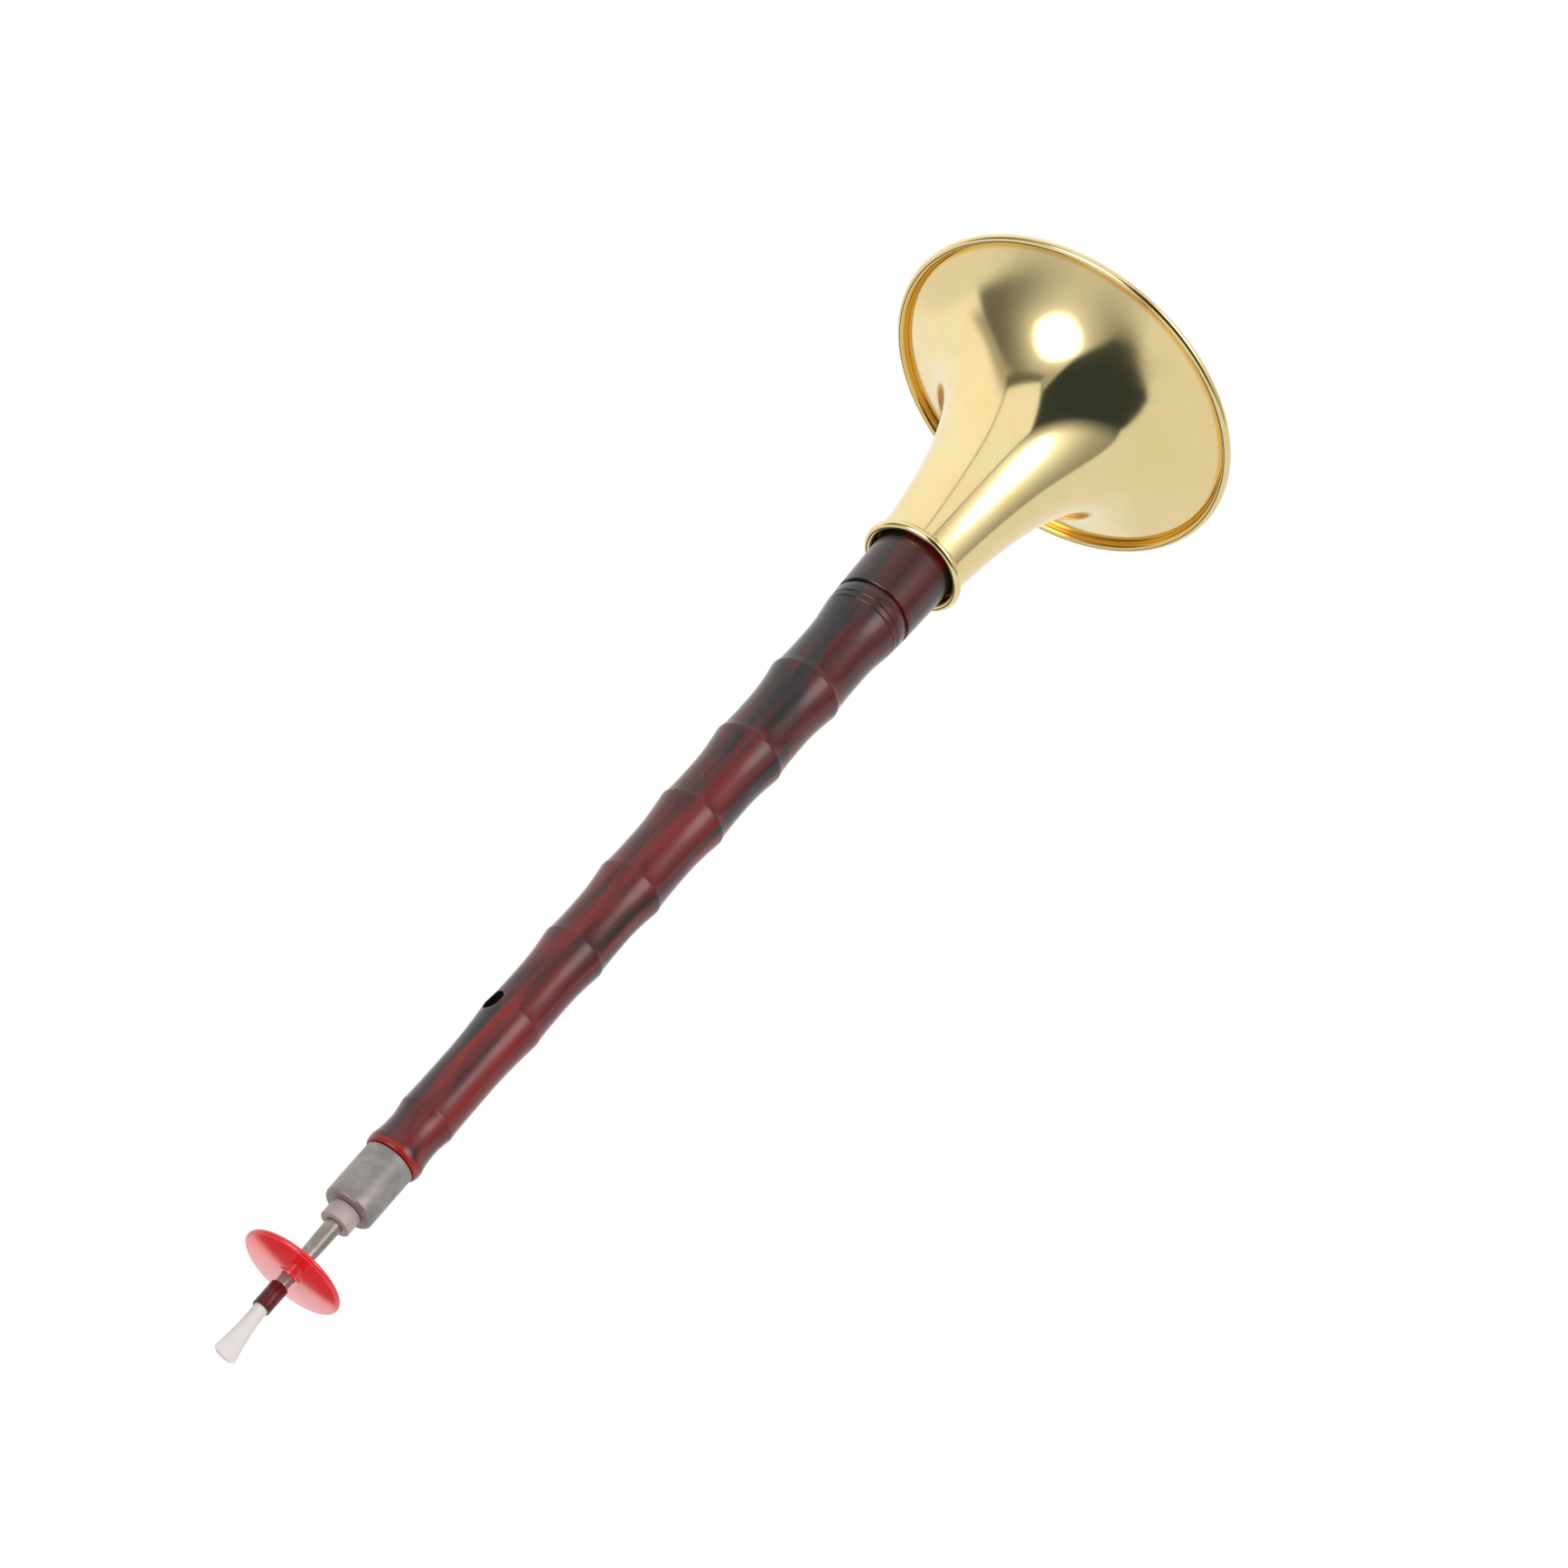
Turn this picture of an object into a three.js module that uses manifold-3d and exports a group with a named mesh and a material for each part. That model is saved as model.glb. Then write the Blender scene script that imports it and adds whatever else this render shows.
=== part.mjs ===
// A suona: a conical double-reed shawm with a loose spun-brass bell.
// Millimetres, +Z up. The origin is the centre of the bell's mouth, and the instrument stands on that mouth:
// 395 mm to the reed's tip and 115 mm across the rolled rim. Finger holes face -Y, the thumb hole +Y.
import * as THREE from 'three';
import { mergeVertices } from 'three/addons/utils/BufferGeometryUtils.js';
import Module from 'manifold-3d';

const wasm = await Module();
wasm.setup();

// Bell: one spun sheet from the neck to the mouth, its edge rolled back round a wire.
const mouthDiameter = 115;
const bellHeight = 84;
const neckDiameter = 28.4;
const bellSheet = 0.6;
const rimRollDiameter = 2.6;
const rimLand = 1;
const rimWireDiameter = 0.8;
const neckRingDiameter = 2.3;
const neckRingOffset = 0.75;
const neckFlange = 1;

// Pipe: a resin cone turned in seven bamboo joints, with a plain foot that stands in the bell's neck.
const pipeLength = 263.3;
const pipeDepthInBell = 18;
const footDiameter = 25.5;
const sleeveTopDiameter = 24;
const sleeveLength = 40.6;
const shoulderDiameter = 23.3;
const crestTopDiameter = 15.8;
const crestFootDiameter = 22.7;
const waistTopDiameter = 14.4;
const waistFootDiameter = 21.1;
const collarDiameter = 15.9;
const collarHeight = 2.2;
const collarChamfer = 0.7;
const pipeBoreFootDiameter = 18;
const pipeBoreTopDiameter = 7.2;
const deepGrooveWidth = 1.6;
const deepGrooveDepth = 0.7;
const fineGrooveWidth = 0.6;
const fineGrooveDepth = 0.25;
const fineGrooveGap = 3.4;
const fineGroovePitch = 2.2;

// Tone holes: seven in front, one in each waist between joints, and one behind for the thumb.
const fingerHoleDiameter = 6.8;
const thumbHoleDiameter = 6.4;

// Seat packing: the wrapped band that grips the neck from inside.
const packingLength = 12;
const packingDiameter = 26.8;
const packingDepth = 0.75;
const packingFromFoot = 4.6;

// Tuning core: a cap over the pipe's spigot, with a tube that slides in the pipe's socket.
const capDiameter = 14;
const capLength = 17;
const capWall = 0.7;
const capPlate = 1.6;
const capCorner = 1;
const capGap = 0.3;
const spigotDiameter = 11.7;
const spigotLength = 13.7;
const socketDiameter = 9.5;
const socketDepth = 31.4;
const coreTubeDiameter = 8;
const coreTubeWall = 0.5;
const coreTubeLength = 34;
const coreSealLength = 9;
const coreSealFromEnd = 3;

// Bushing: the soft stopper that holds the staple in the core.
const bushingDiameter = 8.6;
const bushingStand = 4.7;
const bushingPlugLength = 10.6;
const bushingCorner = 0.5;

// Staple: a tapered tube that carries the disc and the reed.
const stapleFootDiameter = 6.24;
const stapleTipDiameter = 3.34;
const stapleWall = 0.35;
const stapleRise = 31.4;
const stapleDepth = 24.6;

// Lip disc: a round plate that the player's lips rest on.
const discDiameter = 28.6;
const discThickness = 2;
const discRise = 20.4;

// Reed: a flattened tube with a fan-shaped mouth, whipped to the staple by a lacquered binding. Its flat is
// turned a little from Y.
const reedLength = 22;
const reedOverlap = 5;
const reedRootDiameter = 4.4;
const reedWaistDiameter = 3.7;
const reedTipWidth = 6;
const reedTipThickness = 0.9;
const reedWall = 0.35;
const reedTipWall = 0.25;
const reedTipBulge = 1.3;
const reedTurn = THREE.MathUtils.degToRad(18);
const bindingDiameter = 5;
const bindingLength = 7.3;
const bindingFromStapleTip = 5.5;

// Clearances, and how far a cutter runs past what it cuts.
const slideFit = 0.08;
const looseFit = 0.2;
const overrun = 1;

// Faces round each piece.
const bellSides = 48;
const pipeSides = 28;
const smallSides = 24;
const discSides = 36;
const holeSides = 20;

// Heights that follow from the sizes above.
const pipeFoot = bellHeight - pipeDepthInBell;
const pipeShoulder = pipeFoot + pipeLength;
const spigotTop = pipeShoulder + spigotLength;
const socketFloor = spigotTop - socketDepth;
const capBottom = pipeShoulder + capGap;
const capTop = capBottom + capLength;
const coreTubeEnd = capTop - coreTubeLength;
const bushingTop = capTop + slideFit + bushingStand;
const bushingFoot = capTop - bushingPlugLength;
const stapleTip = capTop + stapleRise;
const stapleFoot = capTop - stapleDepth;
const discBottom = capTop + discRise;
const bindingBottom = stapleTip - bindingFromStapleTip;
const bindingTop = bindingBottom + bindingLength;
const reedBottom = stapleTip - reedOverlap;
const reedTop = reedBottom + reedLength;

const brass = new THREE.MeshStandardMaterial({ color: 0xe6cf94, roughness: 0.12, metalness: 1 });
const resin = new THREE.MeshStandardMaterial({ color: 0x5a2423, roughness: 0.35, metalness: 0 });
const steel = new THREE.MeshStandardMaterial({ color: 0xa8a29c, roughness: 0.35, metalness: 1 });
const wire = new THREE.MeshStandardMaterial({ color: 0x8a8c8e, roughness: 0.4, metalness: 1 });
const cork = new THREE.MeshStandardMaterial({ color: 0x5b3a26, roughness: 0.9, metalness: 0 });
const silicone = new THREE.MeshStandardMaterial({ color: 0xbdb2b0, roughness: 0.45, metalness: 0 });
const redPlastic = new THREE.MeshStandardMaterial({ color: 0xd0141c, roughness: 0.12, metalness: 0 });
const lacquer = new THREE.MeshStandardMaterial({ color: 0x4a1512, roughness: 0.2, metalness: 0 });
const reedFilm = new THREE.MeshStandardMaterial({ color: 0xe4e0dc, roughness: 0.4, metalness: 0 });

// A point of a turned profile, by radius and height.
function at(radius, height) {
  return new THREE.Vector2(radius, height);
}

// Turns a closed profile about Z. Its outer wall runs upwards.
function turned(profile, sides) {
  const closed = [...profile, profile[0].clone()];
  const geometry = new THREE.LatheGeometry(closed, sides);
  geometry.rotateX(Math.PI / 2);
  return geometry;
}

// A plain ring of rectangular section.
function ring(innerRadius, outerRadius, bottom, top, sides) {
  const profile = [at(innerRadius, bottom), at(outerRadius, bottom), at(outerRadius, top), at(innerRadius, top)];
  return turned(profile, sides);
}

// Points on an arc of a profile, from one angle to another in degrees, in equal steps.
function arc(centre, radius, from, to, steps) {
  const points = [];
  for (let i = 0; i <= steps; i += 1) {
    const angle = THREE.MathUtils.degToRad(from + ((to - from) * i) / steps);
    points.push(at(centre.x + radius * Math.cos(angle), centre.y + radius * Math.sin(angle)));
  }
  return points;
}

// A boolean solid made from a closed geometry.
function solid(geometry) {
  const bare = geometry.clone();
  bare.deleteAttribute('normal');
  bare.deleteAttribute('uv');
  const merged = mergeVertices(bare, 1e-5);
  const mesh = new wasm.Mesh({
    numProp: 3,
    vertProperties: new Float32Array(merged.attributes.position.array),
    triVerts: new Uint32Array(merged.index.array),
  });
  return new wasm.Manifold(mesh);
}

// A three.js geometry made from a boolean solid.
function geometryOf(manifold) {
  const mesh = manifold.getMesh();
  const geometry = new THREE.BufferGeometry();
  geometry.setAttribute('position', new THREE.BufferAttribute(new Float32Array(mesh.vertProperties), 3));
  geometry.setIndex(new THREE.BufferAttribute(new Uint32Array(mesh.triVerts), 1));
  geometry.computeVertexNormals();
  return geometry;
}

// Bell flare, with a narrow flange turned out at the neck's edge. Each pair is a share of the height down to
// the rim's land, and of the growth from neck to land.
const flareShares = [
  [1, 0], [0.8, 0.039], [0.616, 0.098], [0.472, 0.168], [0.352, 0.258],
  [0.245, 0.379], [0.161, 0.516], [0.089, 0.704], [0.041, 0.871], [0, 1],
];
const flareSteps = 12;
const rollSteps = 6;
const rollEndAngle = 180;

function bellFlare() {
  const rollRadius = rimRollDiameter / 2;
  const rollCentre = at(mouthDiameter / 2 - rollRadius, rollRadius);
  const landRadius = rollCentre.x - rimLand;
  const growth = landRadius - neckDiameter / 2;
  const back = new THREE.SplineCurve(flareShares.map(([heightShare, growthShare]) => (
    at(neckDiameter / 2 + growth * growthShare, bellSheet + (bellHeight - bellSheet) * heightShare)
  )));
  const outside = [];
  const inside = [];
  for (let i = 0; i < flareSteps; i += 1) {
    const share = i / flareSteps;
    const point = back.getPoint(share);
    const tangent = back.getTangent(share);
    outside.push(point);
    inside.push(at(point.x + bellSheet * tangent.y, point.y - bellSheet * tangent.x));
  }
  inside[0].y = bellHeight;
  outside[0].y = bellHeight - bellSheet;
  const flange = neckDiameter / 2 + neckFlange;
  const profile = [
    ...inside,
    at(landRadius, 0),
    ...arc(rollCentre, rollRadius, -90, rollEndAngle, rollSteps),
    ...arc(rollCentre, rollRadius - bellSheet, rollEndAngle, -90, rollSteps),
    at(landRadius, bellSheet),
    ...outside.reverse(),
    at(flange, bellHeight - bellSheet),
    at(flange, bellHeight),
  ];
  return turned(profile, bellSides);
}

function bellRimWire() {
  const rollRadius = rimRollDiameter / 2;
  const centre = at(mouthDiameter / 2 - rollRadius, rollRadius);
  return turned(arc(centre, rimWireDiameter / 2, -90, 180, 3), bellSides);
}

// The neck ring is a round wire, flattened where it is brazed on the neck's flange.
function bellNeckRing() {
  const radius = neckRingDiameter / 2;
  const flatHalfAngle = 25;
  const lift = radius * Math.cos(THREE.MathUtils.degToRad(flatHalfAngle));
  const centre = at(neckDiameter / 2 + neckRingOffset, bellHeight + lift);
  return turned(arc(centre, radius, flatHalfAngle - 90, 270 - flatHalfAngle, 7), bellSides);
}

// Pipe. The crests' places are shares of the pipe's length from its foot, from the bell end upwards.
const crestShares = [0.289, 0.395, 0.499, 0.608, 0.705, 0.808, 0.944];
const footWaistShare = 0.234;
const collarWaistShare = 0.9648;
const waistBetweenCrestsShare = 0.5;
const jointSteps = 3;

// The handles of each curve, lower one first: a share of its height, then a share of its change in radius.
const footHandleShares = [[0.3, 0.4], [0.45, 1]];
const riseHandleShares = [[0.7, 0], [0.9, 0.25]];
const fallHandleShares = [[0.2, 0.3], [0.55, 1]];
const collarHandleShares = [[0.7, 0], [0.85, 1]];
const collarTopHandleShares = [[0.65, 0], [1, 0.5]];

function pipeHeight(share) {
  return pipeFoot + pipeLength * share;
}

// A straight taper from one radius to another. Crests and waists each follow one.
function taper(footRadius, topRadius, foot, top, place) {
  return THREE.MathUtils.mapLinear(place, foot, top, footRadius, topRadius);
}

function crestRadius(share) {
  return taper(crestFootDiameter / 2, crestTopDiameter / 2, crestShares[0], crestShares.at(-1), share);
}

function waistRadius(share) {
  return taper(waistFootDiameter / 2, waistTopDiameter / 2, footWaistShare, collarWaistShare, share);
}

// Adds a curve up to a point, with its two handles at the given shares.
function curveTo(path, end, handleShares) {
  const start = path.currentPoint.clone();
  const [lower, upper] = handleShares.map(([heightShare, radiusShare]) => at(
    THREE.MathUtils.lerp(start.x, end.x, radiusShare),
    THREE.MathUtils.lerp(start.y, end.y, heightShare),
  ));
  path.bezierCurveTo(lower.x, lower.y, upper.x, upper.y, end.x, end.y);
}

function pipeOutline() {
  const sleeveTop = pipeFoot + sleeveLength;
  const shoulderBottom = sleeveTop + deepGrooveWidth;
  const shoulderTop = shoulderBottom + fineGrooveGap + fineGroovePitch + fineGrooveWidth / 2;
  const seatBottom = pipeFoot + packingFromFoot;
  const seatTop = seatBottom + packingLength + looseFit;
  const foot = footDiameter / 2;
  const seat = foot - packingDepth;
  const sleeve = sleeveTopDiameter / 2;
  const path = new THREE.Path();
  path.moveTo(foot, pipeFoot);
  path.lineTo(foot, seatBottom);
  path.lineTo(seat, seatBottom);
  path.lineTo(seat, seatTop);
  path.lineTo(foot, seatTop);
  path.lineTo(foot, bellHeight + neckRingDiameter);
  path.lineTo(sleeve, sleeveTop);
  path.lineTo(sleeve - deepGrooveDepth, sleeveTop);
  path.lineTo(sleeve - deepGrooveDepth, shoulderBottom);
  path.lineTo(sleeve, shoulderBottom);
  for (let i = 0; i < 2; i += 1) {
    const groove = shoulderBottom + fineGrooveGap + fineGroovePitch * i;
    const radius = taper(sleeve, shoulderDiameter / 2, shoulderBottom, shoulderTop, groove);
    path.lineTo(radius, groove - fineGrooveWidth / 2);
    path.lineTo(radius - fineGrooveDepth, groove);
    path.lineTo(radius, groove + fineGrooveWidth / 2);
  }
  const waists = waistShares();
  curveTo(path, at(waistRadius(footWaistShare), pipeHeight(footWaistShare)), footHandleShares);
  crestShares.forEach((crest, i) => {
    const waist = waists[i + 1];
    curveTo(path, at(crestRadius(crest), pipeHeight(crest)), riseHandleShares);
    curveTo(path, at(waistRadius(waist), pipeHeight(waist)), fallHandleShares);
  });
  const collar = collarDiameter / 2;
  curveTo(path, at(collar, pipeShoulder - collarHeight), collarHandleShares);
  curveTo(path, at(collar - collarChamfer, pipeShoulder), collarTopHandleShares);
  path.lineTo(spigotDiameter / 2, pipeShoulder);
  path.lineTo(spigotDiameter / 2, spigotTop);
  return path.getPoints(jointSteps);
}

// A cutter for one tone hole, from the bore's axis out through the wall, turned about Z.
function holeCutter(diameter, height, turn) {
  const reach = footDiameter / 2 + overrun;
  const cutter = new THREE.CylinderGeometry(diameter / 2, diameter / 2, reach, holeSides);
  cutter.translate(0, -reach / 2, 0);
  cutter.rotateZ(turn);
  cutter.translate(0, 0, height);
  return solid(cutter);
}

// Waists, as shares of the pipe's length: the foot's, one between each pair of crests, and the collar's.
function waistShares() {
  const between = crestShares.slice(1).map((crest, i) => (
    THREE.MathUtils.lerp(crestShares[i], crest, waistBetweenCrestsShare)
  ));
  return [footWaistShare, ...between, collarWaistShare];
}

function pipe() {
  const profile = [
    at(pipeBoreFootDiameter / 2, pipeFoot),
    ...pipeOutline(),
    at(socketDiameter / 2, spigotTop),
    at(socketDiameter / 2, socketFloor),
    at(pipeBoreTopDiameter / 2, socketFloor),
  ];
  let body = solid(turned(profile, pipeSides));
  for (const waist of waistShares().slice(0, -1)) {
    body = body.subtract(holeCutter(fingerHoleDiameter, pipeHeight(waist), 0));
  }
  const thumbHeight = pipeHeight(crestShares.at(-2));
  body = body.subtract(holeCutter(thumbHoleDiameter, thumbHeight, Math.PI));
  return geometryOf(body);
}

function seatPacking() {
  const bottom = pipeFoot + packingFromFoot + slideFit;
  const inner = footDiameter / 2 - packingDepth + slideFit;
  return ring(inner, packingDiameter / 2, bottom, bottom + packingLength, pipeSides);
}

// Core cap: an open skirt under a plate, with a rounded top edge.
function coreCap() {
  const outer = capDiameter / 2;
  const inner = outer - capWall;
  const hole = coreTubeDiameter / 2 + slideFit;
  const cornerCentre = at(outer - capCorner, capTop - capCorner);
  const profile = [
    at(inner, capBottom),
    at(outer, capBottom),
    ...arc(cornerCentre, capCorner, 0, 90, 3),
    at(hole, capTop),
    at(hole, capTop - capPlate),
    at(inner, capTop - capPlate),
  ];
  return turned(profile, smallSides);
}

function coreTube() {
  const outer = coreTubeDiameter / 2;
  return ring(outer - coreTubeWall, outer, coreTubeEnd, capTop, smallSides);
}

function coreSeal() {
  const bottom = coreTubeEnd + coreSealFromEnd;
  const inner = coreTubeDiameter / 2 + slideFit;
  return ring(inner, socketDiameter / 2 - slideFit, bottom, bottom + coreSealLength, smallSides);
}

function stapleRadius(height) {
  return THREE.MathUtils.mapLinear(height, stapleFoot, stapleTip, stapleFootDiameter / 2, stapleTipDiameter / 2);
}

function bushing() {
  const outer = bushingDiameter / 2;
  const plug = coreTubeDiameter / 2 - coreTubeWall - slideFit;
  const flange = capTop + slideFit;
  const cornerCentre = at(outer - bushingCorner, bushingTop - bushingCorner);
  const profile = [
    at(stapleRadius(bushingFoot) + slideFit, bushingFoot),
    at(plug, bushingFoot),
    at(plug, flange),
    at(outer, flange),
    ...arc(cornerCentre, bushingCorner, 0, 90, 3),
    at(stapleRadius(bushingTop) + slideFit, bushingTop),
  ];
  return turned(profile, smallSides);
}

function staple() {
  const foot = stapleRadius(stapleFoot);
  const tip = stapleRadius(stapleTip);
  const profile = [
    at(foot - stapleWall, stapleFoot),
    at(foot, stapleFoot),
    at(tip, stapleTip),
    at(tip - stapleWall, stapleTip),
  ];
  return turned(profile, smallSides);
}

function lipDisc() {
  const hole = stapleRadius(discBottom) + slideFit;
  const edge = discThickness / 2;
  const centre = at(discDiameter / 2 - edge, discBottom + edge);
  const profile = [
    at(hole, discBottom),
    ...arc(centre, edge, -90, 90, 6),
    at(hole, discBottom + discThickness),
  ];
  return turned(profile, discSides);
}

function reedBinding() {
  const outer = bindingDiameter / 2;
  const inner = reedRootDiameter / 2 + slideFit;
  const corner = (outer - inner) / 2;
  const profile = [
    at(inner, bindingBottom),
    at(outer - corner, bindingBottom),
    at(outer, bindingBottom + corner),
    at(outer, bindingTop - corner),
    at(outer - corner, bindingTop),
    at(inner, bindingTop),
  ];
  return turned(profile, smallSides);
}

// Reed sections from the root up: height share, then how far it has gone from round root to waist, and to the tip.
const reedStationShares = [
  [0, 0, 0], [0.24, 0, 0], [0.34, 1, 0], [0.44, 1, 0.03],
  [0.58, 1, 0.16], [0.72, 1, 0.38], [0.86, 1, 0.68], [1, 1, 1],
];
const reedFlattenShare = 0.55;
const reedSides = 24;

function reed() {
  const positions = [];
  const index = [];
  const stations = [];
  for (const [heightShare, waistShare, tipShare] of reedStationShares) {
    const round = THREE.MathUtils.lerp(reedRootDiameter, reedWaistDiameter, waistShare) / 2;
    const width = THREE.MathUtils.lerp(round, reedTipWidth / 2, tipShare);
    const thin = THREE.MathUtils.lerp(round, reedTipThickness / 2, tipShare ** reedFlattenShare);
    const wall = THREE.MathUtils.lerp(reedWall, reedTipWall, tipShare);
    stations.push({ height: reedBottom + reedLength * heightShare, width, thin, wall, tipShare });
  }
  // One ring per station up the outside, then down the inside.
  const rings = [
    ...stations.map((station) => ({ ...station, inset: 0 })),
    ...stations.map((station) => ({ ...station, inset: station.wall })).reverse(),
  ];
  for (const { height, width, thin, inset, tipShare } of rings) {
    for (let i = 0; i < reedSides; i += 1) {
      const angle = (i / reedSides) * 2 * Math.PI;
      const across = Math.sin(angle);
      positions.push((thin - inset) * Math.cos(angle), (width - inset) * across);
      positions.push(height - reedTipBulge * tipShare * across ** 4);
    }
  }
  rings.forEach((_, level) => {
    const start = level * reedSides;
    const next = ((level + 1) % rings.length) * reedSides;
    for (let i = 0; i < reedSides; i += 1) {
      const j = (i + 1) % reedSides;
      index.push(start + i, start + j, next + j);
      index.push(start + i, next + j, next + i);
    }
  });
  const geometry = new THREE.BufferGeometry();
  geometry.setAttribute('position', new THREE.Float32BufferAttribute(positions, 3));
  geometry.setIndex(index);
  geometry.rotateZ(reedTurn);
  geometry.computeVertexNormals();
  return geometry;
}

const suona = new THREE.Group();

function add(name, geometry, material) {
  const mesh = new THREE.Mesh(geometry, material);
  mesh.name = name;
  suona.add(mesh);
}

add('bell_flare', bellFlare(), brass);
add('bell_rim_wire', bellRimWire(), wire);
add('bell_neck_ring', bellNeckRing(), brass);
add('pipe', pipe(), resin);
add('seat_packing', seatPacking(), cork);
add('core_cap', coreCap(), steel);
add('core_tube', coreTube(), steel);
add('core_seal', coreSeal(), cork);
add('bushing', bushing(), silicone);
add('staple', staple(), steel);
add('lip_disc', lipDisc(), redPlastic);
add('reed_binding', reedBinding(), lacquer);
add('reed', reed(), reedFilm);

export default suona;
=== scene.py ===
import math

import bmesh
import bpy
from mathutils import Matrix, Vector


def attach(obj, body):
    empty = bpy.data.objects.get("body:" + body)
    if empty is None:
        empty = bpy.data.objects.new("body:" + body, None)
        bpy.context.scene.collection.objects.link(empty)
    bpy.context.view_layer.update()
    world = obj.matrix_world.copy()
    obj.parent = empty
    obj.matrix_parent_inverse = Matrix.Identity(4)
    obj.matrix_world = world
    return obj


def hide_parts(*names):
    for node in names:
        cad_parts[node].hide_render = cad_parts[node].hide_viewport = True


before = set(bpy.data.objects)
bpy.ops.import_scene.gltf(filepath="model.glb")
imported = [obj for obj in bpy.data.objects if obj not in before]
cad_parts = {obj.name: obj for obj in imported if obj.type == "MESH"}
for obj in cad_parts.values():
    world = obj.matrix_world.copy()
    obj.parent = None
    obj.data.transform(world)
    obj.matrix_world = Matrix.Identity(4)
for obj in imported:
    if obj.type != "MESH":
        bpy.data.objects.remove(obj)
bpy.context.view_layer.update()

# BELL. One sheet of brass, spun thin over a former from neck to mouth and polished bright. Its neck edge
# is turned out into a narrow flange, and its mouth edge is rolled back round a steel wire into a bead,
# with a groove between the bead and the flare's back. A round brass ring is brazed on the neck's flange.
# Lengths are in millimetres, angles in degrees, and colours in linear light.
mm = 0.001
bell_height = 84
mouth_radius = 57.5
neck_radius = 14.2
bell_sheet = 0.6
neck_flange = 1.0
bead_radius = 1.3
bead_centre = (mouth_radius - bead_radius, bead_radius)
closing_step = 12
land_inset = 1.0
roll_end_radius = 55
pinch_radius = 0.25
pinch_gap = 0.05
flare_corners = [(14.2, 84), (15.3, 67.6), (19.7, 42.4), (26.1, 25.6), (34.1, 14.5), (42.5, 8.2), (55.2, 0.6)]
flare_steps = 12
bell_sides = 256
ring_sides = 192
bell_edge_angle = 50
wire_radius = 0.4
ring_radius = 1.3
ring_overhang = 0.65
ring_flat_angle = 25
path_radius = 1e-6
merge_distance = 4e-6
smudge_threshold, smudge_softness = 0.75, 0.3
back_lean = 0.6
turning_share = 0.06
clean_brass = (0.89, 0.73, 0.385, 1)
handled_brass = (0.86, 0.685, 0.33, 1)
# painted reflection: the deep gold shown in the groove between the rolled bead and the flare's back
painted_groove_reflection_gold = (0.8, 0.5, 0.11, 1)
wire_dark = (0.34, 0.34, 0.35, 1)
wire_light = (0.5, 0.5, 0.5, 1)


def connect(tree, node, inputs):
    """Gives a node its inputs, as values or as links from other nodes' outputs."""
    for name, value in inputs.items():
        if isinstance(value, bpy.types.NodeSocket):
            tree.links.new(value, node.inputs[name])
        else:
            node.inputs[name].default_value = value


def add(tree, kind, inputs=None, **settings):
    """Adds a node with its settings and its inputs."""
    made = tree.nodes.new(kind)
    for name, value in settings.items():
        setattr(made, name, value)
    connect(tree, made, inputs or {})
    return made


def node_group(name, kind, inputs, output, output_kind):
    """A node group with named inputs, each with its kind and its first value, and one output."""
    tree = bpy.data.node_groups.new(name, kind)
    for label, socket_kind, value in inputs:
        socket = tree.interface.new_socket(label, in_out="INPUT", socket_type="NodeSocket" + socket_kind)
        if value is not None:
            socket.default_value = value
    tree.interface.new_socket(output, in_out="OUTPUT", socket_type="NodeSocket" + output_kind)
    return tree, add(tree, "NodeGroupInput").outputs


def end_growth(tree, geometry, finish, output):
    """Ends a tree of geometry: smooth, realised, and with its material."""
    smooth = add(tree, "GeometryNodeSetShadeSmooth", {"Geometry": geometry})
    real = add(tree, "GeometryNodeRealizeInstances", {"Geometry": smooth.outputs["Geometry"]})
    ready = add(tree, "GeometryNodeSetMaterial", {"Geometry": real.outputs["Geometry"], "Material": finish})
    add(tree, "NodeGroupOutput", {output: ready.outputs["Geometry"]})


def in_scene(name, data):
    """A new object in the scene."""
    made = bpy.data.objects.new(name, data)
    bpy.context.scene.collection.objects.link(made)
    return made


def weighted(weights, points):
    """The point that is the sum of points of radius and height by their weights."""
    return tuple(sum(w * p[axis] for w, p in zip(weights, points)) for axis in (0, 1))


def bent_line(corners, steps):
    """Points of a smooth line that starts and ends on its corners and is drawn towards those between."""
    held = [corners[0]] * 2 + list(corners) + [corners[-1]] * 2
    points = []
    for i in range(len(held) - 3):
        for k in range(steps):
            t = k / steps
            pull = ((1 - t) ** 3 / 6, (3 * t ** 3 - 6 * t * t + 4) / 6,
                    (-3 * t ** 3 + 3 * t * t + 3 * t + 1) / 6, t ** 3 / 6)
            points.append(weighted(pull, held[i:i + 4]))
    return points + [corners[-1]]


def arc(centre, radius, start, end, steps):
    """Points on an arc in degrees, as radius and height."""
    angles = [math.radians(start + (end - start) * i / steps) for i in range(steps + 1)]
    return [(centre[0] + radius * math.cos(a), centre[1] + radius * math.sin(a)) for a in angles]


def lathe_tree():
    """Turns a line of radius and height about Z: the line is swept round a circle too small to see."""
    inputs = [("Outline", "Geometry", None), ("Sides", "Int", None), ("Finish", "Material", None)]
    tree, given = node_group("turned on a lathe", "GeometryNodeTree", inputs, "Turned", "Geometry")
    line = add(tree, "GeometryNodeMeshToCurve", {"Mesh": given["Outline"]}).outputs["Curve"]
    circle = {"Resolution": given["Sides"], "Radius": path_radius}
    path = add(tree, "GeometryNodeCurvePrimitiveCircle", circle).outputs["Curve"]
    swept = add(tree, "GeometryNodeCurveToMesh", {"Curve": path, "Profile Curve": line})
    outward = add(tree, "GeometryNodeFlipFaces", {"Mesh": swept.outputs["Mesh"]}).outputs["Mesh"]
    closed = add(tree, "GeometryNodeMergeByDistance", {"Geometry": outward, "Distance": merge_distance})
    end_growth(tree, closed.outputs["Geometry"], given["Finish"], "Turned")
    return tree


lathe = lathe_tree()


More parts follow.
